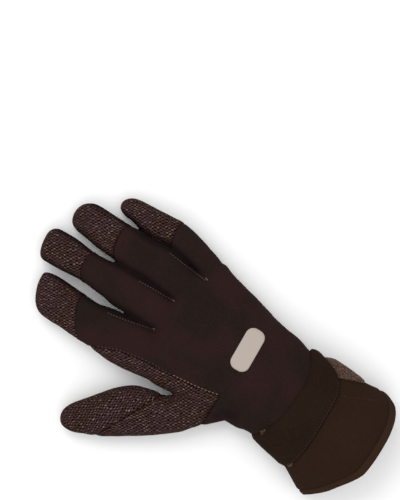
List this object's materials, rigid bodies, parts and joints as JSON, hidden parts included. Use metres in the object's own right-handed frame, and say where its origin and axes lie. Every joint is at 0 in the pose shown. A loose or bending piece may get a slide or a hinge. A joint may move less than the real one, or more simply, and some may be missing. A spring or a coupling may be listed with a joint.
{
  "type": "diving glove",
  "caption": "Right-hand neoprene diving glove with grip-cloth palm, thumb and fingertips, flared cuff and wrist strap, lying palm down.",
  "frame": {"origin": "middle of the glove's footprint, on the surface it lies on", "axes": "+Y towards the fingertips, -X towards the thumb, +Z out of the back of the hand"},
  "size_m": [0.1782, 0.2968, 0.0398],
  "materials": {
    "neoprene": "knitted nylon facing, matt",
    "grip_cloth": "coarse woven grip cloth",
    "strap_cloth": "knitted facing, brown",
    "loop_pile": "brushed loop pile",
    "print": "printed, satin"
  },
  "bodies": {
    "root": {"back_panel": "neoprene", "finger_base_panel": "neoprene", "cuff": "neoprene", "cuff_hem": "neoprene", "palm_panel": "grip_cloth", "cap_index": "grip_cloth", "cap_middle": "grip_cloth", "cap_ring": "grip_cloth", "cap_little": "grip_cloth", "thumb_stall": "grip_cloth", "wrist_strap": "strap_cloth", "loop_patch": "loop_pile", "name_patch": "print"}
  },
  "joints": []
}
